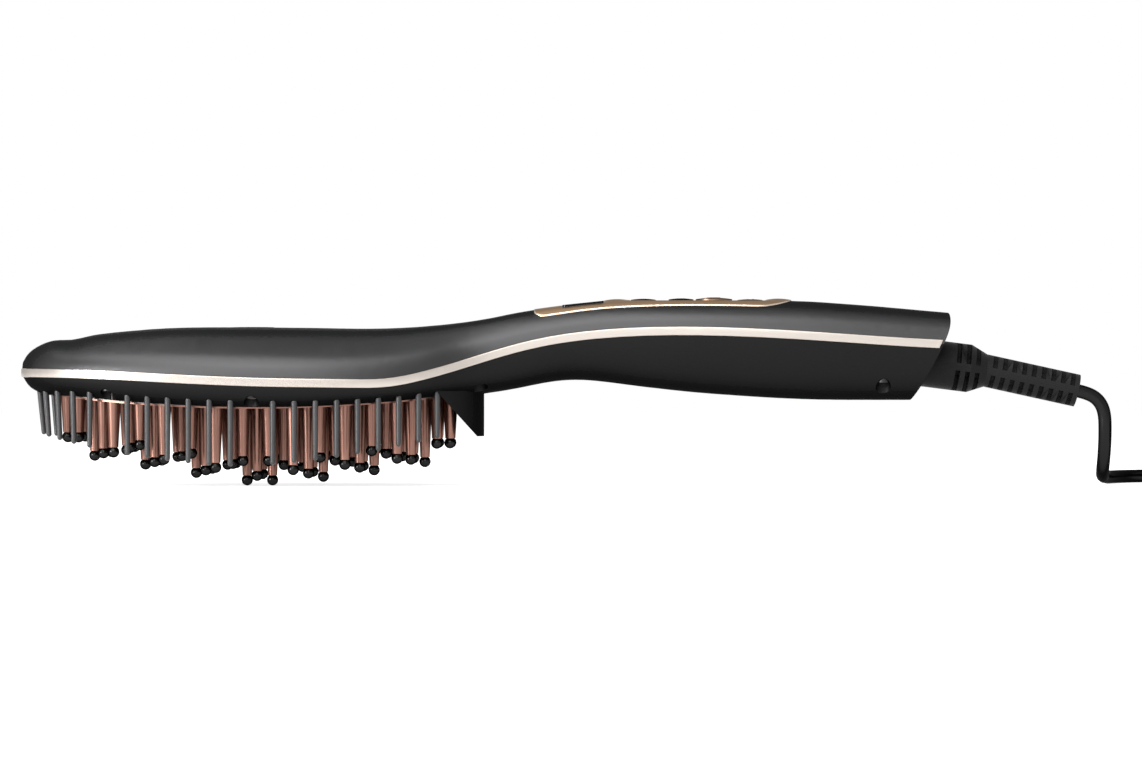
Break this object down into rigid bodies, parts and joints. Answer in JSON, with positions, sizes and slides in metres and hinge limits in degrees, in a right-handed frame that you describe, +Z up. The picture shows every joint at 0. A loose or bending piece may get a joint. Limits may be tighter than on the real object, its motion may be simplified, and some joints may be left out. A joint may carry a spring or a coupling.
{
  "type": "heated hair brush",
  "caption": "Oval paddle brush with a heated plate, ball-tipped teeth and a ring of bristles, a curved handle with a display and push buttons, and a mains cord.",
  "frame": {"origin": "centre of the brush's footprint, cord left out, at the height of its lowest tooth tips", "axes": "+X along the handle from the nose of the head to the cord, +Z up from the tooth tips to the head's back"},
  "size_m": [0.472, 0.0856, 0.0589],
  "materials": {
    "satin_shell": "satin black",
    "rose_gold_trim": "polished rose gold plating",
    "dark_window": "glossy black",
    "black_rubber": "matte black",
    "dark_steel": "blackened steel",
    "copper_plate": "copper-coloured coating, satin",
    "silver_frame": "silver, satin",
    "gloss_black": "glossy black",
    "grey_nylon": "matte dark grey",
    "white_ceramic": "matte",
    "amber_film": "amber film",
    "steel_sheet": "plain",
    "black_plastic": "matte black",
    "clear_tank": "translucent",
    "silicone": "translucent white",
    "circuit_board": "green lacquer",
    "lead_sleeve": "red and white sleeves",
    "nickel_pins": "nickel plated"
  },
  "bodies": {
    "brush": {"upper_housing": "satin_shell", "lower_housing": "satin_shell", "trim_band": "rose_gold_trim", "control_panel": "rose_gold_trim", "display_window": "dark_window", "cord_boot": "black_rubber", "housing_screws": "dark_steel", "heater_plate": "copper_plate", "plate_frame": "silver_frame", "heating_teeth": "copper_plate", "tooth_tips": "gloss_black", "guard_bristles": "grey_nylon", "bristle_rail": "grey_nylon", "ceramic_heaters": "white_ceramic", "insulation_sheet": "amber_film", "heater_clamp": "steel_sheet", "clamp_screws": "steel_sheet", "heat_shield": "steel_sheet", "temperature_sensor": "black_plastic", "thermal_fuse": "steel_sheet", "water_tank": "clear_tank", "steam_pump": "black_plastic", "steam_chamber": "steel_sheet", "water_tubes": "silicone", "control_board": "circuit_board", "board_screws": "steel_sheet", "display_module": "black_plastic", "button_switches": "black_plastic", "cord_grip": "black_plastic", "grip_screws": "steel_sheet", "mains_leads": "lead_sleeve", "heater_leads": "lead_sleeve", "cord_run": "black_rubber", "cord_tail": "black_rubber", "cord_coil": "black_rubber", "cord_tie": "black_plastic", "plug_body": "black_rubber", "plug_pins": "nickel_pins"},
    "minus_button": {"minus_button": "gloss_black"},
    "plus_button": {"plus_button": "gloss_black"},
    "power_button": {"power_button": "rose_gold_trim"},
    "steam_button": {"steam_button": "gloss_black"},
    "filler": {"filler_plug": "black_rubber"}
  },
  "joints": [
    {"name": "minus_press", "type": "slide", "parent": "brush", "child": "minus_button", "axis": [0, 0, -1], "range_m": [0, 0.0006], "stiffness_N_per_m": 1500},
    {"name": "plus_press", "type": "slide", "parent": "brush", "child": "plus_button", "axis": [0, 0, -1], "range_m": [0, 0.0006], "stiffness_N_per_m": 1500},
    {"name": "power_press", "type": "slide", "parent": "brush", "child": "power_button", "axis": [0, 0, -1], "range_m": [0, 0.0006], "stiffness_N_per_m": 1500},
    {"name": "steam_press", "type": "slide", "parent": "brush", "child": "steam_button", "axis": [0, 0, -1], "range_m": [0, 0.0006], "stiffness_N_per_m": 1500},
    {"name": "filler_lift", "type": "slide", "parent": "brush", "child": "filler", "axis": [0, 0, 1], "range_m": [0, 0.014]}
  ]
}
